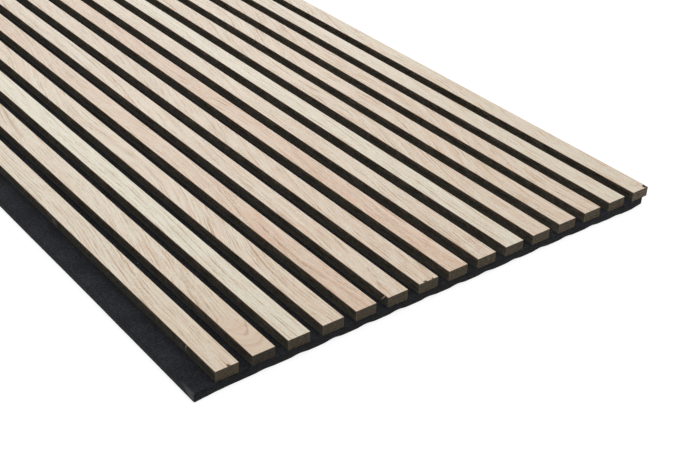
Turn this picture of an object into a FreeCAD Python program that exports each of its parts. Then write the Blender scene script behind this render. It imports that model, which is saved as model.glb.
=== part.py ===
import FreeCAD, Part
import os

import Sketcher
from FreeCAD import Placement, Rotation, Vector

# Acoustic slat wall panel: fifteen veneered fibreboard slats on one sheet of felt.
# It lies on its felt with the slats up.  X runs across the slats, Y along them,
# Z up.  The origin is the middle of the underside of the whole panel.

doc = FreeCAD.newDocument("slat_panel")

# ---------------------------------------------------------------- dimensions
dims = doc.addObject("Spreadsheet::Sheet", "dims")
table = [
    ("panel_length", 2400.0),      # length of slats and felt
    ("slat_count", 15),            # slats side by side
    ("slat_pitch", 40.0),          # slat to slat, 25 slat and 15 gap
    ("slat_width", 25.0),
    ("core_thick", 11.4),          # dyed fibreboard
    ("veneer_thick", 0.6),         # oak face
    ("veneer_arris", 0.2),         # sanded edge of the oak face
    ("felt_thick", 9.0),
    ("felt_width", 600.0),
    ("felt_tongue", 24.0),         # felt that stands out past the first slat
    ("staple_rows", 9),            # staples along one slat
    ("staple_inset", 11.0),        # panel end to the middle of the last staple
    ("staple_crown", 12.8),        # outside width over both legs
    ("staple_leg", 14.0),          # outside height
    ("wire_wide", 0.95),
    ("wire_thick", 0.65),
    ("dimple_depth", 1.6),         # felt drawn up by a staple
    ("dimple_reach", 12.5),        # from the middle line to where the felt is flat
    ("dimple_floor", 2.0),         # half width of the flat under the crown
]
for row, (name, value) in enumerate(table, start=1):
    dims.set("A%d" % row, name)
    dims.set("B%d" % row, "%g" % value)
    dims.setAlias("B%d" % row, name)
# Lengths worked out from those above.
derived = [
    ("panel_width", "=felt_tongue + (slat_count - 1) * slat_pitch + slat_width"),
    ("first_slat", "=felt_tongue - panel_width / 2 + slat_width / 2"),
    ("felt_middle", "=felt_width / 2 - panel_width / 2"),
    ("staple_first", "=staple_inset - panel_length / 2"),
    ("staple_run", "=panel_length - 2 * staple_inset"),
    ("slat_run", "=(slat_count - 1) * slat_pitch"),
    ("crown_under", "=dimple_depth - wire_thick"),
    ("leg_in_core", "=crown_under + staple_leg - felt_thick"),
]
for row, (name, formula) in enumerate(derived, start=len(table) + 1):
    dims.set("A%d" % row, name)
    dims.set("B%d" % row, formula)
    dims.setAlias("B%d" % row, name)
doc.recompute()


def size(name):
    return float(dims.get(name))


# ------------------------------------------------------------------- helpers
def plane(body, role):
    return next(f for f in body.Origin.OriginFeatures if f.Role == role)


def new_body(label):
    body = doc.addObject("PartDesign::Body", label)
    body.Label = label
    return body


def new_sketch(body, name, role, lift=None):
    """A sketch on one of the body's own planes, lifted along its normal."""
    sketch = body.newObject("Sketcher::SketchObject", name)
    sketch.AttachmentSupport = [(plane(body, role), "")]
    sketch.MapMode = "FlatFace"
    if lift is not None:
        sketch.setExpression(".AttachmentOffset.Base.z", lift)
    return sketch


def rectangle(sketch, x_mid, y_mid, x_len, y_len, names):
    """A rectangle about (x_mid, y_mid).  names: two expressions for its lengths
    and two for the distance of its low corner from the origin, or None where
    the middle is the origin."""
    x0, x1 = x_mid - x_len / 2, x_mid + x_len / 2
    y0, y1 = y_mid - y_len / 2, y_mid + y_len / 2
    corners = [Vector(x0, y0, 0), Vector(x1, y0, 0), Vector(x1, y1, 0), Vector(x0, y1, 0)]
    base = sketch.GeometryCount
    for i in range(4):
        sketch.addGeometry(Part.LineSegment(corners[i], corners[(i + 1) % 4]), False)
    for i in range(4):
        sketch.addConstraint(Sketcher.Constraint("Coincident", base + i, 2, base + (i + 1) % 4, 1))
    for i, kind in enumerate(("Horizontal", "Vertical", "Horizontal", "Vertical")):
        sketch.addConstraint(Sketcher.Constraint(kind, base + i))
    c = sketch.addConstraint(Sketcher.Constraint("DistanceX", base, 1, base, 2, x_len))
    sketch.setExpression("Constraints[%d]" % c, names[0])
    c = sketch.addConstraint(Sketcher.Constraint("DistanceY", base + 1, 1, base + 1, 2, y_len))
    sketch.setExpression("Constraints[%d]" % c, names[1])
    if names[2] is None and names[3] is None:
        sketch.addConstraint(Sketcher.Constraint("Symmetric", base, 1, base + 1, 2, -1, 1))
        return
    c = sketch.addConstraint(Sketcher.Constraint("DistanceX", base, 1, -1, 1, -x0))
    sketch.setExpression("Constraints[%d]" % c, names[2])
    c = sketch.addConstraint(Sketcher.Constraint("DistanceY", base, 1, -1, 1, -y0))
    sketch.setExpression("Constraints[%d]" % c, names[3])


def pad(body, name, sketch, length, midplane=False):
    feature = body.newObject("PartDesign::Pad", name)
    feature.Profile = sketch
    feature.setExpression("Length", length)
    if midplane:
        feature.SideType = "Symmetric"
    body.Tip = feature
    doc.recompute()
    return feature


def pocket(body, name, sketch, length, up):
    """A pocket into +Z if up, else into -Z; it must take material away."""
    before = body.Shape.Volume
    feature = body.newObject("PartDesign::Pocket", name)
    feature.Profile = sketch
    feature.setExpression("Length", length)
    feature.Reversed = bool(up)
    body.Tip = feature
    doc.recompute()
    if not body.Shape.Volume < before - 1e-6:
        raise RuntimeError("%s took nothing away" % name)
    return feature


def pattern(body, name, originals, axis, length, count):
    feature = body.newObject("PartDesign::LinearPattern", name)
    feature.Originals = originals
    feature.Direction = (plane(body, axis), [""])
    feature.setExpression("Length", length)
    feature.setExpression("Occurrences", count)
    body.Tip = feature
    doc.recompute()
    return feature


def grid_pattern(body, name, originals):
    """Copies along one slat (Y) and from slat to slat (X)."""
    feature = body.newObject("PartDesign::LinearPattern", name)
    feature.Originals = originals
    feature.Direction = (plane(body, "Y_Axis"), [""])
    feature.setExpression("Length", "dims.staple_run")
    feature.setExpression("Occurrences", "dims.staple_rows")
    feature.Direction2 = (plane(body, "X_Axis"), [""])
    feature.setExpression("Length2", "dims.slat_run")
    feature.setExpression("Occurrences2", "dims.slat_count")
    body.Tip = feature
    doc.recompute()
    return feature


def leg_slots(sketch):
    """The two leg sections of one staple, whose middle is at (0, staple_first)."""
    y_mid = size("staple_first")
    reach = size("staple_crown") / 2 - size("wire_thick") / 2
    for sign in (-1, 1):
        corner = "-dims.staple_first + %s" % (
            "dims.staple_crown / 2" if sign < 0 else "dims.wire_thick - dims.staple_crown / 2")
        rectangle(sketch, 0.0, y_mid + sign * reach, size("wire_wide"), size("wire_thick"),
                  ("dims.wire_wide", "dims.wire_thick", "dims.wire_wide / 2", corner))


subparts = []

# -------------------------------------------------------------- felt backing
# The body stands at the first slat's middle line, so that the dimples and leg
# holes of that slat are the ones that the patterns repeat.
felt = new_body("felt_backing")
felt_outline = new_sketch(felt, "felt_outline", "XY_Plane")
rectangle(felt_outline, size("felt_middle") - size("first_slat"), 0.0, size("felt_width"), size("panel_length"),
          ("dims.felt_width", "dims.panel_length",
           "dims.felt_width / 2 - dims.felt_middle + dims.first_slat", "dims.panel_length / 2"))
pad(felt, "felt_sheet", felt_outline, "dims.felt_thick")
# A staple draws the felt up into a shallow dimple with sloping sides and a flat
# floor for its crown.
doc.recompute()
whole = felt.Shape.Volume
dimple = felt.newObject("PartDesign::SubtractiveWedge", "dimple")
dimple.AttachmentSupport = [(plane(felt, "XY_Plane"), "")]
dimple.MapMode = "FlatFace"
dimple.AttachmentOffset = Placement(Vector(0, size("staple_first"), 0), Rotation(Vector(1, 0, 0), 90))
dimple.setExpression(".AttachmentOffset.Base.y", "dims.staple_first")
for prop, formula in (
        ("Xmin", "-dims.dimple_reach"), ("Xmax", "dims.dimple_reach"),
        ("Zmin", "-dims.staple_crown / 2 - dims.dimple_reach"),
        ("Zmax", "dims.staple_crown / 2 + dims.dimple_reach"),
        ("Ymin", "0"), ("Ymax", "dims.dimple_depth"),
        ("X2min", "-dims.dimple_floor"), ("X2max", "dims.dimple_floor"),
        ("Z2min", "-dims.staple_crown / 2 - dims.dimple_floor"),
        ("Z2max", "dims.staple_crown / 2 + dims.dimple_floor")):
    dimple.setExpression(prop, formula)
felt.Tip = dimple
doc.recompute()
if not felt.Shape.Volume < whole - 1.0:
    raise RuntimeError("dimple took nothing away")
felt_legs = new_sketch(felt, "felt_leg_holes", "XY_Plane")
leg_slots(felt_legs)
leg_hole = pocket(felt, "leg_hole", felt_legs, "dims.felt_thick", True)
grid_pattern(felt, "stapled_grid", [dimple, leg_hole])
felt.setExpression(".Placement.Base.x", "dims.first_slat")
subparts.append(felt)

# --------------------------------------------------------------------- slats
# Chips in the oak face at the sawn end, as (slat, outlines): points are measured
# from the slat's left edge and from the end, in millimetres.
chips = {
    1: [[(13.2, -0.5), (13.4, 0.9), (13.6, 2.1), (14.3, 3.3), (15.0, 2.8), (15.7, 1.8), (16.5, 0.8), (17.1, -0.5)]],
    7: [[(6.2, -0.5), (6.5, 1.5), (7.3, 2.2), (8.6, 1.8), (9.7, 1.3), (10.7, 0.7), (11.3, -0.5)],
        [(16.6, -0.5), (17.0, 1.0), (17.8, 1.6), (18.5, 1.0), (19.0, -0.5)]],
    15: [[(25.5, 0.9), (24.2, 0.7), (22.0, 0.5), (20.6, 1.2), (20.3, 2.8), (21.2, 4.3), (23.0, 5.2), (25.5, 5.5)]],
}

for index in range(1, int(size("slat_count")) + 1):
    middle = "dims.first_slat + %d * dims.slat_pitch" % (index - 1)

    core = new_body("slat_%02d_core" % index)
    outline = new_sketch(core, "core_outline_%02d" % index, "XY_Plane")
    rectangle(outline, 0.0, 0.0, size("slat_width"), size("panel_length"),
              ("dims.slat_width", "dims.panel_length", None, None))
    pad(core, "core_strip_%02d" % index, outline, "dims.core_thick")
    pierced = new_sketch(core, "core_leg_holes_%02d" % index, "XY_Plane")
    leg_slots(pierced)
    pierce = pocket(core, "core_leg_hole_%02d" % index, pierced, "dims.leg_in_core", True)
    pattern(core, "core_stapled_%02d" % index, [pierce], "Y_Axis", "dims.staple_run", "dims.staple_rows")
    core.setExpression(".Placement.Base.x", middle)
    core.setExpression(".Placement.Base.z", "dims.felt_thick")
    subparts.append(core)

    face = new_body("slat_%02d_veneer" % index)
    outline = new_sketch(face, "veneer_outline_%02d" % index, "XY_Plane")
    rectangle(outline, 0.0, 0.0, size("slat_width"), size("panel_length"),
              ("dims.slat_width", "dims.panel_length", None, None))
    strip = pad(face, "veneer_strip_%02d" % index, outline, "dims.veneer_thick")
    # The two long upper edges are sanded off a little.
    long_edges = []
    for number, edge in enumerate(strip.Shape.Edges, start=1):
        ends = [v.Point for v in edge.Vertexes]
        if abs(ends[0].y - ends[1].y) > 1.0 and min(p.z for p in ends) > size("veneer_thick") - 1e-6:
            long_edges.append("Edge%d" % number)
    arris = face.newObject("PartDesign::Chamfer", "veneer_arris_%02d" % index)
    arris.Base = (strip, long_edges)
    arris.setExpression("Size", "dims.veneer_arris")
    face.Tip = arris
    doc.recompute()
    if index in chips:
        broken = new_sketch(face, "chip_outline_%02d" % index, "XY_Plane")
        half, end = size("slat_width") / 2, -size("panel_length") / 2
        for chip in chips[index]:
            base = broken.GeometryCount
            count = len(chip)
            points = [Vector(x - half, end + y, 0) for x, y in chip]
            for i, point in enumerate(points):
                broken.addGeometry(Part.LineSegment(point, points[(i + 1) % count]), False)
            for i in range(count):
                broken.addConstraint(Sketcher.Constraint("Coincident", base + i, 2, base + (i + 1) % count, 1))
            for i, point in enumerate(points):
                c = broken.addConstraint(Sketcher.Constraint("DistanceX", base + i, 1, -1, 1, -point.x))
                broken.setExpression("Constraints[%d]" % c, "dims.slat_width / 2 - %g" % chip[i][0])
                c = broken.addConstraint(Sketcher.Constraint("DistanceY", base + i, 1, -1, 1, -point.y))
                broken.setExpression("Constraints[%d]" % c, "dims.panel_length / 2 - %g" % chip[i][1])
        pocket(face, "chip_%02d" % index, broken, "dims.veneer_thick", True)
    face.setExpression(".Placement.Base.x", middle)
    face.setExpression(".Placement.Base.z", "dims.felt_thick + dims.core_thick")
    subparts.append(face)

# ------------------------------------------------------------------- staples
# One bent wire with its crown on the floor of a dimple and its legs up through
# the felt into the core, repeated along every slat.
staples = new_body("back_staples")
staples.AllowCompound = True
wire = new_sketch(staples, "staple_outline", "YZ_Plane")
half = size("staple_crown") / 2
thin, high, mid = size("wire_thick"), size("staple_leg"), size("staple_first")
steps = [(-half, 0), (half, 0), (half, high), (half - thin, high), (half - thin, thin),
         (thin - half, thin), (thin - half, high), (-half, high)]
points = [Vector(mid + y, z, 0) for y, z in steps]
for i, point in enumerate(points):
    wire.addGeometry(Part.LineSegment(point, points[(i + 1) % 8]), False)
for i in range(8):
    wire.addConstraint(Sketcher.Constraint("Coincident", i, 2, (i + 1) % 8, 1))
    wire.addConstraint(Sketcher.Constraint("Horizontal" if i % 2 == 0 else "Vertical", i))
for start, end, along, text in (
        (0, 1, "DistanceX", "dims.staple_crown"), (1, 2, "DistanceY", "dims.staple_leg"),
        (3, 2, "DistanceX", "dims.wire_thick"), (7, 6, "DistanceX", "dims.wire_thick")):
    a, b = points[start], points[end]
    length = (b.x - a.x) if along == "DistanceX" else (b.y - a.y)
    c = wire.addConstraint(Sketcher.Constraint(along, start, 1, end, 1, length))
    wire.setExpression("Constraints[%d]" % c, text)
c = wire.addConstraint(Sketcher.Constraint("DistanceY", 0, 1, 4, 1, thin))
wire.setExpression("Constraints[%d]" % c, "dims.wire_thick")
wire.addConstraint(Sketcher.Constraint("DistanceY", 2, 1, 6, 1, 0.0))
c = wire.addConstraint(Sketcher.Constraint("DistanceX", 0, 1, -1, 1, half - mid))
wire.setExpression("Constraints[%d]" % c, "dims.staple_crown / 2 - dims.staple_first")
wire.addConstraint(Sketcher.Constraint("PointOnObject", 0, 1, -1))
staple = pad(staples, "staple", wire, "dims.wire_wide", midplane=True)
grid_pattern(staples, "staple_grid", [staple])
staples.setExpression(".Placement.Base.x", "dims.first_slat")
staples.setExpression(".Placement.Base.z", "dims.crown_under")
subparts.append(staples)

doc.recompute()

# -------------------------------------------------------------------- checks
for thing in doc.Objects:
    bad = [s for s in thing.State if s in ("Invalid", "Error")]
    if bad:
        raise RuntimeError("%s is %s" % (thing.Label, bad))
for part in subparts:
    if part.Shape.isNull() or not part.Shape.isValid():
        raise RuntimeError("%s has no valid shape" % part.Label)

os.makedirs("parts", exist_ok=True)
for part in subparts:
    part.Shape.exportStep(os.path.join("parts", part.Label + ".step"))
    box = part.Shape.BoundBox
    print("%-18s solids %3d  volume %12.2f  x %9.3f %9.3f  y %9.2f %9.2f  z %7.3f %7.3f" % (
        part.Label, len(part.Shape.Solids), part.Shape.Volume,
        box.XMin, box.XMax, box.YMin, box.YMax, box.ZMin, box.ZMax))
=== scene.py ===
import math
import random

import bpy
from mathutils import Matrix, Vector, noise


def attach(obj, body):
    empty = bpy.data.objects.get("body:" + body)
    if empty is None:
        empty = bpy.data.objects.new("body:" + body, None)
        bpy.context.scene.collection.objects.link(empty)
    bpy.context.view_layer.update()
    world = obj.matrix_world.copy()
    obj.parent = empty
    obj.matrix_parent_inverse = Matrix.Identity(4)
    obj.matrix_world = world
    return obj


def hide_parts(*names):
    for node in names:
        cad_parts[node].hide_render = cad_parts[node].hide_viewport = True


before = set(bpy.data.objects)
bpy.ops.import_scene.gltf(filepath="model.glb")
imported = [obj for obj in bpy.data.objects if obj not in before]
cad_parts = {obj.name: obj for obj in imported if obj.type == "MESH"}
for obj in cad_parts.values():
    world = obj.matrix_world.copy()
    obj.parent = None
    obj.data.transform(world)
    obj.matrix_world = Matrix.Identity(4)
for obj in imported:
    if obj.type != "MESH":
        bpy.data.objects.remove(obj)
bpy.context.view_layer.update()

# Acoustic slat wall panel: oak-faced slats on a sheet of charcoal felt.
# Metres, X across the slats, Y along them, Z up.  MM turns millimetres into metres.
MM = 0.001
SLATS = 15
PITCH = 40.0
WIDTH = 25.0
FIRST = -268.0          # middle line of the first slat, mm
LENGTH = 2400.0
FRONT = -1200.0         # the end that is seen, mm
FELT = (-304.5, 295.5)  # felt edges across the slats, mm
FELT_THICK = 9.0
scene = bpy.context.scene


def middle(k):
    return FIRST + PITCH * k


def smooth(a, b, x):
    t = min(max((x - a) / (b - a), 0.0), 1.0)
    return t * t * (3.0 - 2.0 * t)


# ------------------------------------------------------------------ camera
cam_data = bpy.data.cameras.new("camera")
cam_data.sensor_fit = "HORIZONTAL"
cam_data.sensor_width = 36.0
cam_data.lens = 62.54
cam_data.clip_start = 0.02
cam_data.clip_end = 100.0
cam = bpy.data.objects.new("camera", cam_data)
scene.collection.objects.link(cam)
right = Vector((0.79128264, -0.61041586, 0.03555658))
down = Vector((-0.30390166, -0.44307598, -0.84340231))
ahead = Vector((0.53058041, 0.6565639, -0.53610472))
place = Matrix((
    (right.x, -down.x, -ahead.x, -0.724346),
    (right.y, -down.y, -ahead.y, -1.932483),
    (right.z, -down.z, -ahead.z, 0.711914),
    (0.0, 0.0, 0.0, 1.0)))
cam.matrix_world = place
scene.camera = cam


# -------------------------------------------------------------- node helpers
class Nodes:
    """Small shorthand for building a shader."""

    def __init__(self, mat):
        self.tree = mat.node_tree
        self.tree.nodes.clear()
        self.out = self.tree.nodes.new("ShaderNodeOutputMaterial")

    def add(self, kind, **props):
        node = self.tree.nodes.new(kind)
        for key, value in props.items():
            setattr(node, key, value)
        return node

    def put(self, socket, value):
        if isinstance(value, bpy.types.NodeSocket):
            self.tree.links.new(value, socket)
        elif value is not None:
            socket.default_value = value

    def math(self, op, a, b=None, c=None, clamp=False):
        node = self.add("ShaderNodeMath", operation=op, use_clamp=clamp)
        for i, value in enumerate((a, b, c)):
            self.put(node.inputs[i], value)
        return node.outputs[0]

    def xyz(self, x, y, z):
        node = self.add("ShaderNodeCombineXYZ")
        for i, value in enumerate((x, y, z)):
            self.put(node.inputs[i], value)
        return node.outputs[0]

    def noise(self, vector, scale=1.0, detail=2.0, rough=0.5, warp=0.0):
        node = self.add("ShaderNodeTexNoise", noise_dimensions="3D")
        self.put(node.inputs["Vector"], vector)
        node.inputs["Scale"].default_value = scale
        node.inputs["Detail"].default_value = detail
        node.inputs["Roughness"].default_value = rough
        node.inputs["Distortion"].default_value = warp
        return node.outputs["Fac"]

    def span(self, value, lo, hi, to_lo=0.0, to_hi=1.0, kind="SMOOTHSTEP"):
        node = self.add("ShaderNodeMapRange", interpolation_type=kind, clamp=True)
        self.put(node.inputs["Value"], value)
        node.inputs["From Min"].default_value = lo
        node.inputs["From Max"].default_value = hi
        node.inputs["To Min"].default_value = to_lo
        node.inputs["To Max"].default_value = to_hi
        return node.outputs["Result"]

    def ramp(self, value, stops, interpolation="LINEAR"):
        node = self.add("ShaderNodeValToRGB")
        ramp = node.color_ramp
        ramp.interpolation = interpolation
        while len(ramp.elements) < len(stops):
            ramp.elements.new(0.5)
        for element, (pos, colour) in zip(ramp.elements, stops):
            element.position = pos
            if not hasattr(colour, "__len__"):
                colour = (colour, colour, colour)
            element.color = (*colour, 1.0)
        self.put(node.inputs[0], value)
        return node.outputs[0]

    def mix(self, fac, a, b, blend="MIX"):
        node = self.add("ShaderNodeMix", data_type="RGBA", blend_type=blend, clamp_factor=True)
        self.put(node.inputs[0], fac)
        for socket, value in ((node.inputs[6], a), (node.inputs[7], b)):
            if isinstance(value, tuple):
                value = (*value, 1.0)
            self.put(socket, value)
        return node.outputs[2]

    def bump(self, height, strength, distance):
        node = self.add("ShaderNodeBump")
        node.inputs["Strength"].default_value = strength
        node.inputs["Distance"].default_value = distance
        self.put(node.inputs["Height"], height)
        return node.outputs["Normal"]

    def surface(self, colour, rough, normal=None, **constants):
        node = self.add("ShaderNodeBsdfPrincipled")
        self.put(node.inputs["Base Color"], colour)
        self.put(node.inputs["Roughness"], rough)
        if normal is not None:
            self.put(node.inputs["Normal"], normal)
        for key, value in constants.items():
            node.inputs[key.replace("_", " ")].default_value = value
        self.tree.links.new(node.outputs[0], self.out.inputs["Surface"])
        return node


def new_material(name):
    mat = bpy.data.materials.new(name)
    mat.use_nodes = True
    return mat, Nodes(mat)


def position(n):
    """The point on the object in millimetres, as three sockets."""
    coord = n.add("ShaderNodeTexCoord")
    parts = n.add("ShaderNodeSeparateXYZ")
    n.tree.links.new(coord.outputs["Object"], parts.inputs[0])
    return [n.math("MULTIPLY", parts.outputs[i], 1000.0) for i in range(3)]


def facing(n):
    geo = n.add("ShaderNodeNewGeometry")
    parts = n.add("ShaderNodeSeparateXYZ")
    n.tree.links.new(geo.outputs["Normal"], parts.inputs[0])
    return [n.math("ABSOLUTE", parts.outputs[i]) for i in range(3)]


# ---------------------------------------------------------------- oak veneer
# The oak runs from cream (tone 0) to salmon (tone 1).
CREAM = (0.640, 0.558, 0.432)
SALMON = (0.612, 0.462, 0.340)
# One line a slat: tone, side shift and depth of the tree's middle (mm), lean of
# the grain, ring spacing (mm), strength of the figure, wander of the grain (mm),
# how blotchy its colour is.
FIGURE = [
    (0.16, 34.0, 10.0, 0.012, 3.1, 1.25, 6.0, 0.8),
    (0.24, 24.0, 9.0, -0.012, 3.6, 1.25, 5.0, 1.2),
    (-0.20, 62.0, 14.0, 0.004, 3.6, 1.00, 3.0, 0.5),
    (0.38, 23.0, 12.0, -0.014, 3.5, 1.10, 5.0, 1.2),
    (0.86, 26.0, 8.0, 0.012, 3.2, 0.90, 6.0, 1.3),
    (0.40, 28.0, 15.0, 0.008, 3.8, 0.90, 6.0, 1.2),
    (0.50, 48.0, 12.0, -0.006, 2.6, 1.20, 3.0, 0.8),
    (1.02, 30.0, 12.0, 0.010, 3.2, 1.10, 5.0, 1.3),
    (0.40, 32.0, 11.0, -0.014, 3.0, 0.90, 4.0, 1.0),
    (0.00, 70.0, 18.0, 0.003, 3.4, 0.85, 2.5, 0.6),
    (0.46, 26.0, 9.0, -0.012, 3.1, 1.05, 5.0, 1.1),
    (0.50, 25.0, 14.0, 0.014, 3.4, 1.10, 5.0, 1.2),
    (0.54, 30.0, 10.0, -0.012, 3.4, 1.25, 5.0, 1.3),
    (0.16, 46.0, 16.0, 0.005, 3.2, 0.80, 3.0, 0.8),
    (0.30, 26.0, 12.0, 0.012, 3.2, 0.90, 5.0, 1.1),
]
# How the grain runs across each slat: its slope, how far the slope swings and the
# length of one swing (mm).
CROSSING = [
    (0.08, 0.07, 420.0), (0.13, 0.09, 430.0), (0.03, 0.04, 400.0), (0.13, 0.19, 440.0), (0.03, 0.12, 480.0),
    (0.08, -0.05, 500.0), (0.16, 0.08, 900.0), (0.03, 0.12, 470.0), (0.08, 0.07, 360.0), (0.05, 0.03, 400.0),
    (0.13, 0.14, 430.0), (0.14, 0.18, 400.0), (0.15, 0.22, 430.0), (0.06, 0.02, 500.0), (0.12, 0.13, 420.0),
]
# Knots and burls: slat, place across and from the seen end, half sizes (mm),
# how dark, how far the rings swell round them.
KNOTS = {
    1: [(8.0, 42.5, 2.6, 3.2, 0.60, 0.5), (-4.0, 640.0, 4.0, 9.0, 0.40, 4.0)],
    5: [(-5.0, 23.5, 2.0, 6.5, 0.50, 1.5), (0.1, 37.0, 1.7, 8.0, 0.45, 1.0), (1.8, 50.0, 1.9, 5.5, 0.50, 1.0), (3.0, 134.0, 1.7, 18.0, 0.35, 2.0)],
    4: [(-3.0, 1180.0, 3.0, 14.0, 0.35, 3.0)],
    8: [(1.0, 1640.0, 3.0, 15.0, 0.35, 3.0)],
    10: [(3.0, 2010.0, 2.6, 12.0, 0.40, 3.0)],
    12: [(-2.0, 930.0, 2.5, 14.0, 0.35, 3.0)],
}
# Where the rings close in loops at the seen end: slat, middle line (mm), depth of
# the tree's middle under it, how fast that grows less, shift of the rings.
LOOPS = {1: (1.5, 45.0, 0.18, -11.6)}
# Dark arcs round the ends of such loops: slat, tip across and from the seen end,
# radius, half width (mm), strength, reach to either side (mm), share of that
# strength left in the left arm.
ARCS = {1: [(0.5, 12.0, 8.0, 2.8, 0.26, 16.0, 1.0), (0.6, 31.0, 3.1, 2.2, 0.58, 14.5, 0.35)],
        14: [(3.5, 9.5, 7.0, 1.8, 0.22, 9.0, 1.0)]}
# Dark stains in the oak at its broken edges: place across and from the seen end,
# half sizes (mm), strength.
STAINS = {
    0: [(2.2, 2.4, 2.2, 1.6, 0.25)],
    6: [(5.4, 0.8, 1.3, 1.3, 0.55), (-3.6, 1.9, 2.9, 0.9, 0.35)],
    14: [(10.2, 2.8, 3.4, 3.4, 1.0)],
}


def grain_drift(k, v):
    """How far across the slat the grain has run at v mm from the seen end."""
    slope, swing, period = CROSSING[k]
    return slope * v - swing * period / (2.0 * math.pi) * math.sin(2.0 * math.pi * v / period)


def veneer_material(k):
    tone, side, depth, lean, spacing, strength, wander, blotch = FIGURE[k]
    base = tuple(c + (d - c) * tone for c, d in zip(CREAM, SALMON))
    light = tuple(c * f for c, f in zip(base, (1.14, 1.205, 1.275)))
    grain = tuple(c * f for c, f in zip(base, (0.675, 0.53 - 0.02 * tone, 0.395 - 0.01 * tone)))
    blush = tuple(c * f for c, f in zip(base, (1.06, 0.88, 0.82)))
    straw = tuple(c * f for c, f in zip(base, (0.99, 1.03, 0.97)))
    mat, n = new_material("oak_veneer_%02d" % (k + 1))
    x, y, z = position(n)
    ax, ay, az = facing(n)
    u = n.math("SUBTRACT", x, middle(k))
    v = n.math("SUBTRACT", y, FRONT)
    seed = 17.3 * (k + 1)

    # The grain crosses the slat on a slant that swings along its length.
    slope, swing, period = CROSSING[k]
    drift = n.math("MULTIPLY_ADD", n.math("SINE", n.math("MULTIPLY", v, 2.0 * math.pi / period)),
                   -swing * period / (2.0 * math.pi), n.math("MULTIPLY", v, slope))
    w = n.math("SUBTRACT", u, drift)
    # Slow wander of the grain along the slat, and a finer one.
    slow = n.noise(n.xyz(n.math("MULTIPLY", v, 0.0042), n.math("MULTIPLY", u, 0.012), seed), detail=2.0)
    fine = n.noise(n.xyz(n.math("MULTIPLY", v, 0.024), n.math("MULTIPLY", u, 0.07), seed + 5.1), detail=3.0)
    across = n.math("ADD", n.math("MULTIPLY_ADD", n.math("SUBTRACT", slow, 0.5), 2.0 * wander, u),
                    n.math("MULTIPLY_ADD", n.math("SUBTRACT", fine, 0.5), 3.4, side))
    rise = n.noise(n.xyz(n.math("MULTIPLY", v, 0.0031), seed + 9.7, 0.0), detail=1.0)
    deep = n.math("ADD", n.math("MULTIPLY_ADD", v, lean, depth),
                  n.math("MULTIPLY", n.math("SUBTRACT", rise, 0.5), 16.0))
    ring = n.math("SQRT", n.math("ADD", n.math("MULTIPLY", across, across), n.math("MULTIPLY", deep, deep)))
    ring = n.math("SUBTRACT", ring, drift)
    if k in LOOPS:
        axis, far, rate, shift = LOOPS[k]
        off = n.math("SUBTRACT", n.math("MULTIPLY_ADD", n.math("SUBTRACT", fine, 0.5), 3.4, u), axis)
        under = n.math("MULTIPLY_ADD", v, -rate, far)
        loop = n.math("SQRT", n.math("MULTIPLY_ADD", off, off, n.math("MULTIPLY", under, under)))
        ring = n.math("MULTIPLY_ADD", n.math("SUBTRACT", n.math("ADD", loop, shift), ring), n.span(v, 70.0, 38.0), ring)

    dark_knots = None
    for ku, kv, radius, half, dark, wing, left in ARCS.get(k, []):
        du = n.math("SUBTRACT", n.math("MULTIPLY_ADD", n.math("SUBTRACT", fine, 0.5), 4.0, u), ku)
        dv = n.math("MULTIPLY_ADD", n.math("MULTIPLY", du, du), -0.5 / radius, n.math("SUBTRACT", v, kv))
        dv = n.math("DIVIDE", dv, half)
        core = n.math("MULTIPLY", n.math("POWER", 2.718, n.math("MULTIPLY", n.math("MULTIPLY", dv, dv), -1.0)), dark)
        core = n.math("MULTIPLY", core, n.span(n.math("ABSOLUTE", du), wing, 0.6 * wing))
        core = n.math("MULTIPLY", core, n.span(du, -3.5, 0.5, left, 1.0))
        dark_knots = core if dark_knots is None else n.math("MAXIMUM", dark_knots, core)
    for ku, kv, a, b, dark, swell in KNOTS.get(k, []):
        du = n.math("DIVIDE", n.math("SUBTRACT", w, ku - grain_drift(k, kv)), a)
        dv = n.math("DIVIDE", n.math("SUBTRACT", v, kv), b)
        reach = n.math("ADD", n.math("MULTIPLY", du, du), n.math("MULTIPLY", dv, dv))
        hill = n.math("POWER", 2.718, n.math("MULTIPLY", reach, -0.55))
        ring = n.math("MULTIPLY_ADD", hill, swell, ring)
        if dark > 0.0:
            core = n.math("MULTIPLY", n.math("POWER", 2.718, n.math("MULTIPLY", reach, -1.6)), dark)
            dark_knots = core if dark_knots is None else n.math("MAXIMUM", dark_knots, core)

    # Open pores leave every ring ragged.
    rag = n.noise(n.xyz(n.math("MULTIPLY", w, 0.60), n.math("MULTIPLY", v, 0.060), seed + 40.3), detail=3.0, rough=0.6)
    ring = n.math("MULTIPLY_ADD", n.math("SUBTRACT", rag, 0.5), 2.2, ring)

    # Ring widths vary from year to year, and the figure comes and goes.
    years = n.noise(n.xyz(n.math("MULTIPLY", ring, 0.19), seed + 3.3, n.math("MULTIPLY", v, 0.0015)), detail=2.0)
    phase = n.math("FRACT", n.math("MULTIPLY_ADD", n.math("SUBTRACT", years, 0.5), 3.0,
                                   n.math("DIVIDE", ring, spacing)))
    early = n.ramp(phase, [(0.0, 0.35), (0.06, 1.0), (0.20, 0.66), (0.42, 0.18), (0.84, 0.0), (0.97, 0.08)])
    vigour = n.span(n.noise(n.xyz(n.math("MULTIPLY", ring, 0.18), n.math("MULTIPLY", v, 0.027), seed + 14.9), detail=3.0), 0.36, 0.62, 0.12, 1.26)

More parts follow.
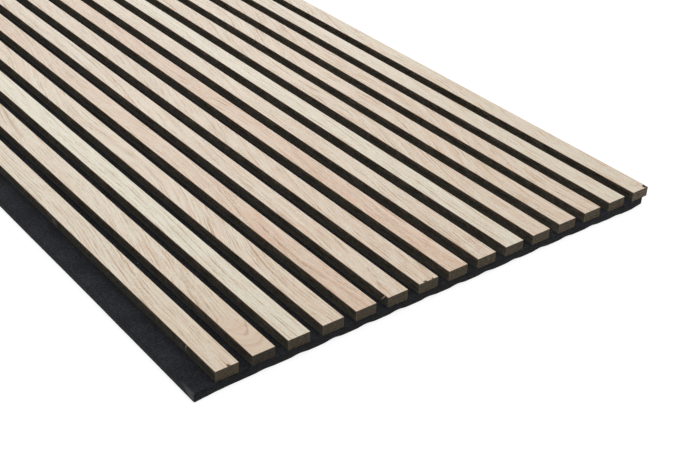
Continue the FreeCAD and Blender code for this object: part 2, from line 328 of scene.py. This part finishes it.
    # Streaks and bands that follow the rings, dashes of open pores in them.
    streak = n.noise(n.xyz(n.math("MULTIPLY", ring, 0.76), n.math("MULTIPLY", v, 0.034), seed + 7.7), detail=4.0, rough=0.66)
    band = n.noise(n.xyz(n.math("MULTIPLY", ring, 0.16), n.math("MULTIPLY", v, 0.0048), seed + 12.1), detail=2.0)
    stroke = n.span(n.noise(n.xyz(n.math("MULTIPLY", ring, 1.05), n.math("MULTIPLY", v, 0.042), seed + 27.3), detail=3.0, rough=0.6), 0.52, 0.68)
    dash = n.noise(n.xyz(n.math("MULTIPLY", ring, 2.4), n.math("MULTIPLY", v, 0.11), seed + 1.9), detail=2.0, rough=0.6)
    pores = n.math("MULTIPLY", n.span(dash, 0.53, 0.70), n.math("MULTIPLY_ADD", early, 0.75, 0.25))
    hue = n.noise(n.xyz(n.math("MULTIPLY", ring, 0.15), n.math("MULTIPLY", v, 0.011), seed + 31.0), detail=4.0, rough=0.65)
    cast = n.noise(n.xyz(n.math("MULTIPLY", ring, 0.42), n.math("MULTIPLY", v, 0.035), seed + 61.0), detail=3.0, rough=0.65)
    # Silky flecks where the rays are cut.
    fleck = n.span(n.noise(n.xyz(n.math("MULTIPLY", w, 0.50), n.math("MULTIPLY", v, 0.18), seed + 21.0), detail=2.0), 0.58, 0.74)

    mottle = n.noise(n.xyz(n.math("MULTIPLY", w, 0.75), n.math("MULTIPLY", v, 0.40), seed + 50.9), detail=3.0, rough=0.75)
    amount = n.math("MULTIPLY_ADD", n.math("MULTIPLY", early, vigour), 0.64 * strength, 0.04)
    amount = n.math("MULTIPLY_ADD", n.math("SUBTRACT", streak, 0.5), 1.30, amount)
    amount = n.math("MULTIPLY_ADD", n.math("SUBTRACT", mottle, 0.5), 1.60, amount)
    amount = n.math("MULTIPLY_ADD", n.math("SUBTRACT", band, 0.5), 0.60 * blotch, amount)
    amount = n.math("MULTIPLY_ADD", n.math("MULTIPLY", stroke, n.math("MULTIPLY_ADD", early, 0.6, 0.4)), 0.52 * strength, amount)
    amount = n.math("MULTIPLY_ADD", pores, 0.45 * strength, amount)
    amount = n.math("MULTIPLY_ADD", fleck, -0.14, amount)
    if k in LOOPS:
        # The figure is faint among the loops.
        amount = n.math("MULTIPLY_ADD", n.math("SUBTRACT", amount, 0.34), n.span(v, 45.0, 120.0, 0.36, 1.1), 0.34)
    else:
        # It is boldest at the seen ends of the later slats.
        bold = n.span(v, 120.0, 300.0, 1.26 if k > 5 else 1.0, 1.02)
        amount = n.math("MULTIPLY_ADD", n.math("SUBTRACT", amount, 0.34), bold, 0.34)
    colour = n.mix(n.math("MAXIMUM", amount, 0.0, clamp=True), light, grain)
    if k in LOOPS:
        colour = n.mix(n.span(v, 80.0, 30.0, 0.0, 0.45), colour, blush)
    # The blush, a real tint, is painted strongest near the seen end and fainter along the length, standing in for the
    # sheen that pales the far end.
    blush_and_sheen_fade = n.span(v, 150.0, 400.0, 1.0, 0.72)
    colour = n.mix(n.math("MULTIPLY", n.math("MULTIPLY", n.span(hue, 0.48, 0.70), 0.55 * blotch), blush_and_sheen_fade), colour, blush)
    colour = n.mix(n.math("MULTIPLY", n.span(cast, 0.50, 0.30), 0.50), colour, straw)
    colour = n.mix(n.math("MULTIPLY", n.math("MULTIPLY", n.span(cast, 0.54, 0.70), 0.65), blush_and_sheen_fade), colour, blush)
    # Painted sheen: the first slats are painted deeper at the seen end and paler
    # along their length, standing in for the sheen that grows away from the seen end;
    # the last ones are painted paler at the seen end.
    near, far = -0.21 + 0.030 * k, 0.27 - 0.020 * k
    deep = tuple(c * f for c, f in zip(base, (0.90, 0.80, 0.70)))
    sheen_fade = n.span(v, 60.0, 380.0, near, far)
    colour = n.mix(n.math("MAXIMUM", sheen_fade, 0.0), colour, light)
    colour = n.mix(n.math("MAXIMUM", n.math("MULTIPLY", sheen_fade, -1.0), 0.0), colour, deep)
    # Painted shade: the later slats are dimmed further along, holding back the back light's sheen there.
    if k > 3:
        far_shade = tuple(c * f for c, f in zip(base, (0.62, 0.72, 0.80)))
        colour = n.mix(n.span(v, 470.0, 650.0, 0.0, 0.10), colour, far_shade)
    if dark_knots is not None:
        stain = tuple(c * f for c, f in zip(grain, (0.80, 0.64, 0.58)))
        colour = n.mix(n.math("MULTIPLY_ADD", pores, 0.25, n.math("MULTIPLY", dark_knots, n.math("MULTIPLY_ADD", streak, 1.2, 0.4)), clamp=True), colour, stain)
    for su, sv, a, b, full in STAINS.get(k, []):
        du = n.math("DIVIDE", n.math("SUBTRACT", u, su), a)
        dv = n.math("DIVIDE", n.math("SUBTRACT", v, sv), b)
        reach = n.math("MULTIPLY_ADD", n.math("SUBTRACT", rag, 0.5), 0.8, n.math("ADD", n.math("MULTIPLY", du, du), n.math("MULTIPLY", dv, dv)))
        colour = n.mix(n.math("MULTIPLY", n.span(reach, 1.25, 0.45), full), colour,
                       (0.060, 0.018, 0.012) if k == SLATS - 1 else (0.110, 0.066, 0.040))

    # The sanded arris shows warm raw oak, the sawn end dark end grain.
    au = n.math("ABSOLUTE", u)
    edge = n.math("MULTIPLY", n.span(au, 12.05, 12.45), n.span(n.noise(n.xyz(n.math("MULTIPLY", v, 0.03), seed + 2.0, 0.0), detail=3.0), 0.30, 0.62, 0.40, 0.85))
    colour = n.mix(edge, colour, (0.42, 0.24, 0.115))
    sawn = n.math("GREATER_THAN", ay, 0.6)
    end_grain = n.ramp(n.noise(n.xyz(n.math("MULTIPLY", u, 2.2), n.math("MULTIPLY", z, 5.0), seed), detail=2.0),
                       [(0.3, (0.095, 0.060, 0.035)), (0.7, (0.190, 0.130, 0.080))])
    colour = n.mix(sawn, colour, end_grain)

    rough = n.math("MULTIPLY_ADD", early, 0.10, n.math("MULTIPLY_ADD", streak, 0.14, 0.40))
    height = n.math("MULTIPLY_ADD", pores, -0.7, n.math("MULTIPLY", early, -0.25))
    height = n.math("MULTIPLY_ADD", streak, 0.35, n.math("MULTIPLY_ADD", stroke, -0.35, height))
    n.surface(colour, rough, n.bump(height, 0.35, 0.00012), IOR=1.48)
    return mat


# ------------------------------------------------------------ dyed fibreboard
# How pale each slat's sawn end is; the last slat's much paler end is painted light, for the light it gets from the open
# side.
END_TONE_AND_LIGHT = [1.04, 0.48, 0.84, 0.90, 0.97, 0.93, 0.93, 1.06, 0.97, 0.96, 1.11, 1.10, 1.18, 1.11, 2.10]


def end_shade(k, shade):
    # Painted light: the last slat's end is painted greyer and cooler than the others, for the light it gets from the
    # open side.
    cool_light = (1.01, 1.06, 1.28) if k == SLATS - 1 else (1.0, 1.0, 1.0)
    return tuple(c * END_TONE_AND_LIGHT[k] * g for c, g in zip(shade, cool_light))


def core_material(k):
    mat, n = new_material("dyed_core_%02d" % (k + 1))
    x, y, z = position(n)
    ax, ay, az = facing(n)
    u = n.math("SUBTRACT", x, middle(k))
    v = n.math("SUBTRACT", y, FRONT)
    seed = 11.0 + 3.7 * k
    # Sawn end: matted fibres lying in layers, a paler rim where the saw broke the
    # dyed skin and a dark line of glue under the oak.
    mat_fibre = n.noise(n.xyz(n.math("MULTIPLY", u, 0.28), n.math("MULTIPLY", z, 0.95), seed), detail=5.0, rough=0.72)
    speck = n.noise(n.xyz(n.math("MULTIPLY", u, 1.0), n.math("MULTIPLY", z, 1.2), seed + 4.0), detail=4.0, rough=0.65)
    end = n.ramp(n.math("MULTIPLY_ADD", n.math("SUBTRACT", speck, 0.5), 1.10, mat_fibre),
                 [(at, end_shade(k, shade)) for at, shade in (
                     (0.30, (0.016, 0.0120, 0.0074)), (0.50, (0.041, 0.0315, 0.0192)), (0.70, (0.100, 0.076, 0.044)))])
    rim = n.math("MAXIMUM", n.math("MAXIMUM", n.span(u, -10.6, -12.3), n.math("MULTIPLY", n.span(u, 11.3, 12.4), 0.7)), n.span(z, 10.4, 9.1))
    rim = n.math("MULTIPLY", rim, n.span(n.noise(n.xyz(n.math("MULTIPLY", u, 0.5), n.math("MULTIPLY", z, 0.45), seed + 8.0), detail=3.0), 0.36, 0.60))
    end = n.mix(n.math("MULTIPLY", rim, 0.70), end, end_shade(k, (0.104, 0.086, 0.050)))
    end = n.mix(n.math("MULTIPLY", n.span(z, 19.2, 20.2), 0.6), end, (0.020, 0.015, 0.010))
    # Long sides: blackened, with saw lines along the slat and dusty patches.
    lines = n.noise(n.xyz(n.math("MULTIPLY", v, 0.05), n.math("MULTIPLY", z, 1.1), seed + 2.0), detail=5.0, rough=0.68)
    dust = n.noise(n.xyz(n.math("MULTIPLY", v, 0.035), n.math("MULTIPLY", z, 0.12), seed + 6.0), detail=3.0)
    grime = n.noise(n.xyz(n.math("MULTIPLY", v, 0.16), n.math("MULTIPLY", z, 0.30), seed + 16.0), detail=4.0, rough=0.7)
    # Painted light: the sides of every slat after the first are painted about twice as pale, for light that reaches
    # into the gaps.
    painted_side_light = 1.08 if k == 0 else 2.2
    shades = [(0.013, 0.0108, 0.0078), (0.035, 0.0292, 0.0219), (0.076, 0.063, 0.047)]
    shades = [tuple(c * painted_side_light for c in shade) for shade in shades]
    soil = n.math("MULTIPLY_ADD", n.math("SUBTRACT", grime, 0.5), 1.4 if k == 0 else 0.9,
                  n.math("MULTIPLY_ADD", n.math("SUBTRACT", dust, 0.5), 0.5, lines))
    side = n.ramp(soil, [(0.26, shades[0]), (0.52, shades[1]), (0.80, shades[2])])
    # Painted light: the foot of the sides is painted paler and greyer towards the felt, lifting the shade at the bottom
    # of the gaps.
    side = n.mix(n.math("MULTIPLY", n.span(z, 15.5, 9.0), 0.8), side, (0.055, 0.0525, 0.038) if k == 0 else (0.130, 0.125, 0.105))
    # Under the veneer the saw has rubbed the black away.
    worn = n.math("MULTIPLY", n.span(z, 18.9, 20.3), n.span(dust, 0.42, 0.62))
    side = n.mix(n.math("MULTIPLY", worn, 0.5), side, (0.105, 0.070, 0.040))
    if k > 0:
        # Painted shade: the sides are painted darker next to the sawn end, where the gaps get less light from the
        # front.
        side = n.mix(n.span(v, 30.0, 0.0, 0.0, {9: 0.12, 11: 0.10}.get(k, 0.42)), side, (0.010, 0.008, 0.006))
    if k == 0:
        # A pale rub on the open side of the first slat.
        ru = n.math("DIVIDE", n.math("SUBTRACT", v, 320.0), 6.0)
        rz = n.math("DIVIDE", n.math("SUBTRACT", z, 14.2), 3.0)
        rub = n.span(n.math("ADD", n.math("MULTIPLY", ru, ru), n.math("MULTIPLY", rz, rz)), 1.6, 0.2)
        side = n.mix(n.math("MULTIPLY", rub, n.math("MULTIPLY", dust, 1.2)), side, (0.115, 0.108, 0.098))
    sawn = n.math("GREATER_THAN", ay, 0.6)
    colour = n.mix(sawn, side, end)
    # Where the oak is chipped off, the stained glue shows.
    bare = n.math("GREATER_THAN", az, 0.6)
    stain = n.ramp(speck, [(0.3, (0.030, 0.006, 0.004)), (0.7, (0.075, 0.020, 0.012))] if k == SLATS - 1 else
                   [(0.3, (0.075, 0.055, 0.038)), (0.7, (0.170, 0.130, 0.090))])
    colour = n.mix(n.math("MULTIPLY", bare, n.math("GREATER_THAN", z, 20.0)), colour, stain)
    height = n.math("ADD", n.math("MULTIPLY", mat_fibre, 0.6), n.math("MULTIPLY", lines, 0.6))
    rough = n.math("MULTIPLY_ADD", speck, 0.2, 0.62)
    n.surface(colour, rough, n.bump(height, 0.5, 0.0002), Specular_IOR_Level=0.05 if k == SLATS - 1 else 0.2)
    return mat


# --------------------------------------------------------------------- felt
def felt_material():
    mat, n = new_material("charcoal_felt")
    x, y, z = position(n)
    ax, ay, az = facing(n)
    p = n.xyz(x, y, z)
    hair = n.noise(p, scale=1.3, detail=6.0, rough=0.74, warp=1.4)
    tuft = n.noise(p, scale=0.42, detail=4.0, rough=0.65, warp=0.8)
    patch = n.noise(p, scale=0.03, detail=2.0)
    tangle = n.math("ABSOLUTE", n.math("SUBTRACT", n.noise(p, scale=1.9, detail=3.0, rough=0.6, warp=2.5), 0.5))
    strand = n.span(tangle, 0.040, 0.0)
    tone = n.math("MULTIPLY_ADD", n.math("SUBTRACT", tuft, 0.5), 1.4, hair)
    tone = n.math("MULTIPLY_ADD", n.math("SUBTRACT", patch, 0.5), 0.5, tone)
    colour = n.ramp(tone, [(0.25, (0.0032, 0.0034, 0.0044)), (0.50, (0.0120, 0.0124, 0.0152)), (0.78, (0.0360, 0.0372, 0.0440))])
    colour = n.mix(n.math("MULTIPLY", strand, 0.35), colour, (0.046, 0.048, 0.056))
    # Painted shade: the cut edge faces are painted darker than the top, against the light the floor throws on them.
    cut_edge_shade = n.ramp(tone, [(0.25, (0.0018, 0.0018, 0.0019)), (0.52, (0.0058, 0.0058, 0.0060)), (0.80, (0.0160, 0.0160, 0.0166))])
    colour = n.mix(n.span(az, 0.75, 0.25), colour, cut_edge_shade)
    # Lint: one clear speck in the first gap, and a sprinkling of faint ones.
    du = n.math("DIVIDE", n.math("SUBTRACT", x, -243.0), 1.0)
    dv = n.math("DIVIDE", n.math("SUBTRACT", y, -992.8), 1.3)
    speck = n.span(n.math("ADD", n.math("MULTIPLY", du, du), n.math("MULTIPLY", dv, dv)), 1.5, 0.2)
    cells = n.add("ShaderNodeTexVoronoi", voronoi_dimensions="2D")
    n.put(cells.inputs["Vector"], n.xyz(x, y, 0.0))
    cells.inputs["Scale"].default_value = 0.045
    lint = n.math("MULTIPLY", n.span(cells.outputs["Distance"], 0.028, 0.010), n.span(hair, 0.45, 0.60))
    colour = n.mix(n.math("MAXIMUM", n.math("MULTIPLY", speck, 0.9), n.math("MULTIPLY", lint, 0.35)), colour, (0.130, 0.128, 0.124))
    # Painted highlight: a pale patch on the shoulder of the near corner, where the rounded edge catches the light.
    above = n.math("SUBTRACT", z, n.math("MULTIPLY_ADD", n.span(y, -1183.0, -1201.0), -6.0, 7.2))
    corner_highlight = n.math("MULTIPLY", n.math("MULTIPLY", n.span(above, -2.4, 2.0), n.span(y, -1176.0, -1196.0)), n.span(x, -303.6, -305.2))
    corner_highlight = n.math("MULTIPLY", corner_highlight, n.span(ay, 0.97, 0.30))
    colour = n.mix(n.math("MULTIPLY", corner_highlight, n.span(hair, 0.36, 0.64, 0.10, 1.0)), colour, (0.102, 0.107, 0.113))
    height = n.math("ADD", n.math("MULTIPLY", hair, 0.8), n.math("MULTIPLY_ADD", strand, 0.25, n.math("MULTIPLY", tuft, 0.7)))
    n.surface(colour, n.span(hair, 0.3, 0.7, 0.85, 0.99), n.bump(height, 0.8, 0.0007),
              Specular_IOR_Level=0.12, Sheen_Weight=0.06, Sheen_Roughness=0.5, Sheen_Tint=(0.80, 0.85, 1.0, 1.0))
    return mat


def staple_material():
    mat, n = new_material("staple_wire")
    x, y, z = position(n)
    p = n.xyz(x, y, z)
    spangle = n.noise(p, scale=0.8, detail=3.0)
    drawn = n.noise(n.xyz(n.math("MULTIPLY", x, 6.0), n.math("MULTIPLY", y, 0.4), n.math("MULTIPLY", z, 0.4)), detail=3.0)
    colour = n.ramp(spangle, [(0.3, (0.42, 0.42, 0.43)), (0.7, (0.62, 0.62, 0.61))])
    rough = n.math("MULTIPLY_ADD", drawn, 0.3, 0.22)
    n.surface(colour, rough, n.bump(drawn, 0.2, 0.00005), Metallic=1.0)
    return mat


def sliver_material():
    mat, n = new_material("oak_sliver")
    x, y, z = position(n)
    streak = n.noise(n.xyz(n.math("MULTIPLY", x, 1.5), n.math("MULTIPLY", y, 0.5), n.math("MULTIPLY", z, 0.9)), detail=3.0)
    colour = n.ramp(streak, [(0.3, (0.130, 0.080, 0.056)), (0.7, (0.330, 0.255, 0.205))])
    n.surface(colour, n.span(streak, 0.3, 0.7, 0.5, 0.7), n.bump(streak, 0.3, 0.0001))
    return mat


def set_material(obj, mat):
    obj.data.materials.clear()
    obj.data.materials.append(mat)


for k in range(SLATS):
    set_material(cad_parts["slat_%02d_veneer" % (k + 1)], veneer_material(k))
    set_material(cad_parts["slat_%02d_core" % (k + 1)], core_material(k))
set_material(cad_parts["back_staples"], staple_material())


# --------------------------------------------------------------- felt sheet
# How far each slat's end staple draws up the cut edge of the felt, mm.
END_PULL = [0.15, 0.9, 1.5, 1.75, 1.7, 1.75, 1.6, 1.7, 1.65, 1.6, 1.7, 1.6, 1.55, 1.2, 1.7]
STAPLE_ROWS = 9
STAPLE_INSET = 11.0
CROWN = 12.8
staple_ys = [FRONT + STAPLE_INSET + i * (LENGTH - 2 * STAPLE_INSET) / (STAPLE_ROWS - 1) for i in range(STAPLE_ROWS)]
pulls = random.Random(4)
PULL = [[END_PULL[k] if row == 0 else pulls.uniform(1.5, 1.7) for row in range(STAPLE_ROWS)] for k in range(SLATS)]


def wave(x, y, size, seed=0.0):
    return noise.noise(Vector((x / size, y / size, seed)))


def felt_under(x, y):
    """Height of the felt's underside: flat, but drawn up round every staple."""
    k = min(max(int(round((x - FIRST) / PITCH)), 0), SLATS - 1)
    row = min(range(STAPLE_ROWS), key=lambda i: abs(y - staple_ys[i]))
    along = max(abs(y - staple_ys[row]) - CROWN / 2, 0.0)
    reach = math.hypot(x - middle(k), along) / 13.5
    lift = PULL[k][row] * 0.5 * (1.0 + math.cos(math.pi * min(reach, 1.0)))
    return lift + 0.10 * (1.0 + wave(x, y, 31.0, 2.0)) * (1.0 if lift < 0.05 else 0.5)


def felt_top(x, y):
    """Pressed flat under the slats, a little proud and uneven between them."""
    off = abs((x - FIRST + PITCH / 2) % PITCH - PITCH / 2)
    if x < middle(0) - WIDTH / 2:
        off = middle(0) - x
    gap = smooth(WIDTH / 2 + 0.8, WIDTH / 2 + 4.5, off)
    if x > middle(SLATS - 1):
        gap = 0.0
    return FELT_THICK - 0.02 + gap * (0.22 + 0.20 * wave(x, y, 9.0, 7.0) + 0.16 * wave(x, y, 37.0, 9.0))


# The felt was cut a little long: how far its seen end stands out past the slats,
# as (x, mm).
FRONT_OUT = [(-305.0, 4.0), (-294.0, 3.2), (-280.0, 2.1), (-260.0, 1.6), (-220.0, 1.3), (-180.0, 1.35), (-140.0, 0.95), (-100.0, 0.85),
             (-60.0, 0.70), (-20.0, 0.75), (20.0, 1.0), (60.0, 1.0), (100.0, 1.1), (140.0, 0.95), (180.0, 1.1),
             (220.0, 1.4), (258.0, 2.2), (276.0, 2.2), (288.0, 1.5), (298.0, 1.3)]
# How far its sides stand out: the left one as (mm from the seen end, mm), the right.
LEFT_OUT = [(0.0, 1.22), (60.0, 1.10), (120.0, 1.12), (180.0, 1.03), (240.0, 1.20), (300.0, 1.52), (345.0, 1.76), (420.0, 1.82)]
RIGHT_OUT = 4.0
# Radius in plan of the felt's corners, mm: left and right, seen end and far end.
CORNER = {(-1, -1): 1.2, (1, -1): 5.5, (-1, 1): 3.0, (1, 1): 3.0}


def rounded(x, y):
    """Carry a point near a square corner to the rounded one."""
    sx = -1 if x < 0.5 * (FELT[0] + FELT[1]) else 1
    sy = -1 if y < 0.0 else 1
    r = CORNER[sx, sy]
    ex, ey = FELT[0] if sx < 0 else FELT[1], sy * -FRONT
    a, b = 1.0 - sx * (ex - x) / r, 1.0 - sy * (ey - y) / r
    if a <= 0.0 or b <= 0.0:
        return x, y
    return (ex - sx * r * (1.0 - a * math.sqrt(1.0 - 0.5 * b * b)),
            ey - sy * r * (1.0 - b * math.sqrt(1.0 - 0.5 * a * a)))


def along(table, x):
    """Read a table of (place, value) pairs smoothly."""
    if x <= table[0][0]:
        return table[0][1]
    for (x0, f0), (x1, f1) in zip(table, table[1:]):
        if x <= x1:
            return f0 + (f1 - f0) * smooth(x0, x1, x)
    return table[-1][1]


def felt_mesh():
    r, r_low = 1.0, 0.5
    step = PITCH / 12
    xs = [FELT[0] + r, FELT[0] + 2 * r]
    x = FIRST - 10 * step
    while x < FELT[1] - 2.2 * r:
        xs.append(x)
        x += step
    xs += [FELT[1] - 2 * r, FELT[1] - r]
    marks = {FRONT + r, FRONT + 2 * r, FRONT + 3.3, FRONT + 5.0, -FRONT - 5.0, -FRONT - 3.3, -FRONT - r, -FRONT - 2 * r}
    for sy in staple_ys:
        for i in range(-5, 6):
            marks.add(round(sy + i * 4.2, 3))
    y = FRONT + 40.0
    while y < -FRONT - 30.0:
        marks.add(round(y, 3))
        y += 24.0
    ys = []
    for y in sorted(marks):
        if FRONT + r - 1e-6 <= y <= -FRONT - r + 1e-6 and (not ys or y - ys[-1] > 1.0):
            ys.append(y)
    ys[-1] = -FRONT - r
    nx, ny = len(xs), len(ys)

    verts, faces = [], []

    def put(x, y, z):
        x, y = rounded(x, y)
        near = smooth(32.0, 0.0, y - FRONT)
        left = smooth(20.0, 0.0, x - FELT[0])
        right = smooth(14.0, 0.0, FELT[1] - x)
        sx = RIGHT_OUT * right - along(LEFT_OUT, y - FRONT) * left
        verts.append(((x + sx) * MM, (y - along(FRONT_OUT, x) * near) * MM, max(z, 0.0) * MM))
        return len(verts) - 1

    top = [[put(x, y, felt_top(x, y)) for x in xs] for y in ys]
    under = [[put(x, y, felt_under(x, y)) for x in xs] for y in ys]
    for j in range(ny - 1):
        for i in range(nx - 1):
            faces.append((top[j][i], top[j][i + 1], top[j + 1][i + 1], top[j + 1][i]))
            faces.append((under[j][i], under[j + 1][i], under[j + 1][i + 1], under[j][i + 1]))
    # The cut edge, round the sheet: a soft upper and a firmer lower shoulder.
    loop = [(0, i) for i in range(nx)] + [(j, nx - 1) for j in range(1, ny)]
    loop += [(ny - 1, i) for i in range(nx - 2, -1, -1)] + [(j, 0) for j in range(ny - 2, 0, -1)]
    rings = []
    for j, i in loop:
        x, y = xs[i], ys[j]
        ox = -1.0 if i == 0 else (1.0 if i == nx - 1 else 0.0)
        oy = -1.0 if j == 0 else (1.0 if j == ny - 1 else 0.0)
        hi, lo = felt_top(x, y), felt_under(x, y)
        ring = [top[j][i]]
        for deg in (60, 32, 8):
            a = math.radians(deg)
            out, z = r * math.cos(a), hi - r + r * math.sin(a)
            out += 0.14 * wave(x + y, z * 3.0, 5.0, 3.0)
            ring.append(put(x + ox * out, y + oy * out, z))
        for t in (0.33, 0.67):
            z = (hi - r) + (lo + r_low - hi + r) * t
            out = r + 0.10 + 0.16 * wave(x + y, z * 3.0, 5.0, 3.0)
            ring.append(put(x + ox * out, y + oy * out, z))
        for deg in (8, 32, 60):
            a = math.radians(deg)
            out, z = r - r_low + r_low * math.cos(a), lo + r_low - r_low * math.sin(a)
            out += 0.08 * wave(x + y, z * 3.0, 5.0, 3.0)
            ring.append(put(x + ox * out, y + oy * out, z))
        ring.append(under[j][i])
        rings.append(ring)
    for a in range(len(rings)):
        b = (a + 1) % len(rings)
        for s in range(len(rings[0]) - 1):
            faces.append((rings[a][s], rings[a][s + 1], rings[b][s + 1], rings[b][s]))
    mesh = bpy.data.meshes.new("felt_sheet")
    mesh.from_pydata(verts, [], faces)
    mesh.validate()
    mesh.update()
    mesh.polygons.foreach_set("use_smooth", [True] * len(mesh.polygons))
    return mesh


felt = bpy.data.objects.new("felt_sheet", felt_mesh())
scene.collection.objects.link(felt)
set_material(felt, felt_material())
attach(felt, "root")
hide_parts("felt_backing")


# ------------------------------------------------------------------ slivers
def sliver_mesh(name, spine, widths, thick):
    """A torn strip of oak along a line of points: flat, tapering, closed."""
    pts = [Vector(p) for p in spine]
    verts, faces = [], []
    for i, p in enumerate(pts):
        run = (pts[min(i + 1, len(pts) - 1)] - pts[max(i - 1, 0)]).normalized()
        wide = run.cross(Vector((1.0, 0.0, 0.15))).normalized()
        flat = run.cross(wide).normalized()
        w, t = widths[i] / 2, thick * (0.4 + 0.6 * widths[i] / max(widths)) / 2
        for a, b in ((-w, -t * 0.6), (0.0, -t), (w, -t * 0.6), (w, t * 0.6), (0.0, t), (-w, t * 0.6)):
            verts.append(tuple((p + wide * a + flat * b) * MM))
    count = len(pts)
    for i in range(count - 1):
        for q in range(6):
            faces.append((6 * i + q, 6 * i + (q + 1) % 6, 6 * i + 6 + (q + 1) % 6, 6 * i + 6 + q))
    faces.append(tuple(range(5, -1, -1)))
    faces.append(tuple(6 * (count - 1) + q for q in range(6)))
    mesh = bpy.data.meshes.new(name)
    mesh.from_pydata(verts, [], faces)
    mesh.validate()
    mesh.update()
    return mesh


sliver_finish = sliver_material()
for name, spine, widths in (
        ("oak_sliver_a", [(-280.3, -1151.2, 20.75), (-280.75, -1151.1, 19.8), (-281.2, -1150.9, 18.2), (-281.4, -1150.8, 16.4),
                          (-281.2, -1150.5, 14.7), (-280.8, -1149.8, 13.0)], [0.8, 1.3, 1.4, 1.2, 0.8, 0.2]),
        ("oak_sliver_b", [(-80.3, -1194.6, 20.7), (-80.9, -1194.3, 19.4), (-81.8, -1193.8, 18.0), (-82.9, -1193.3, 16.9),
                          (-83.9, -1192.6, 16.5)], [0.9, 1.5, 1.4, 0.9, 0.2])):
    piece = bpy.data.objects.new(name, sliver_mesh(name, spine, widths, 0.35))
    scene.collection.objects.link(piece)
    set_material(piece, sliver_finish)
    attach(piece, "root")


# ------------------------------------------------------------------- floor
floor_mesh = bpy.data.meshes.new("floor")
floor_mesh.from_pydata([(-30, -30, 0), (30, -30, 0), (30, 30, 0), (-30, 30, 0)], [], [(0, 1, 2, 3)])
floor = bpy.data.objects.new("floor", floor_mesh)
scene.collection.objects.link(floor)
floor.location.z = -0.0004
mat, n = new_material("studio_floor")
diffuse = n.add("ShaderNodeBsdfDiffuse")
diffuse.inputs["Color"].default_value = (0.34, 0.34, 0.34, 1.0)
glow = n.add("ShaderNodeEmission")
glow.inputs["Strength"].default_value = 0.79
both = n.add("ShaderNodeAddShader")
n.tree.links.new(diffuse.outputs[0], both.inputs[0])
n.tree.links.new(glow.outputs[0], both.inputs[1])
n.tree.links.new(both.outputs[0], n.out.inputs["Surface"])
floor_mesh.materials.append(mat)

# ------------------------------------------------------------------- light
world = bpy.data.worlds.new("studio")
world.use_nodes = True
world.node_tree.nodes["Background"].inputs["Color"].default_value = (1.0, 1.0, 1.0, 1.0)
world.node_tree.nodes["Background"].inputs["Strength"].default_value = 0.66
scene.world = world


def area_light(name, at, towards, size, power):
    data = bpy.data.lights.new(name, "AREA")
    data.shape = "SQUARE"
    data.size = size
    data.energy = power
    light = bpy.data.objects.new(name, data)
    scene.collection.objects.link(light)
    light.location = at
    light.visible_camera = False
    light.rotation_euler = (Vector(towards) - Vector(at)).to_track_quat("-Z", "Y").to_euler()
    return light


area_light("overhead", (0.6, -0.7, 3.2), (0.3, -0.7, 0.0), 3.0, 29.8)
area_light("back_softbox", (1.9, 2.7, 1.7), (0.0, -0.6, 0.0), 2.6, 49.0)

scene.view_settings.view_transform = "Standard"
scene.view_settings.look = "None"
scene.view_settings.exposure = 0.0
scene.view_settings.gamma = 1.0

bpy.context.view_layer.update()
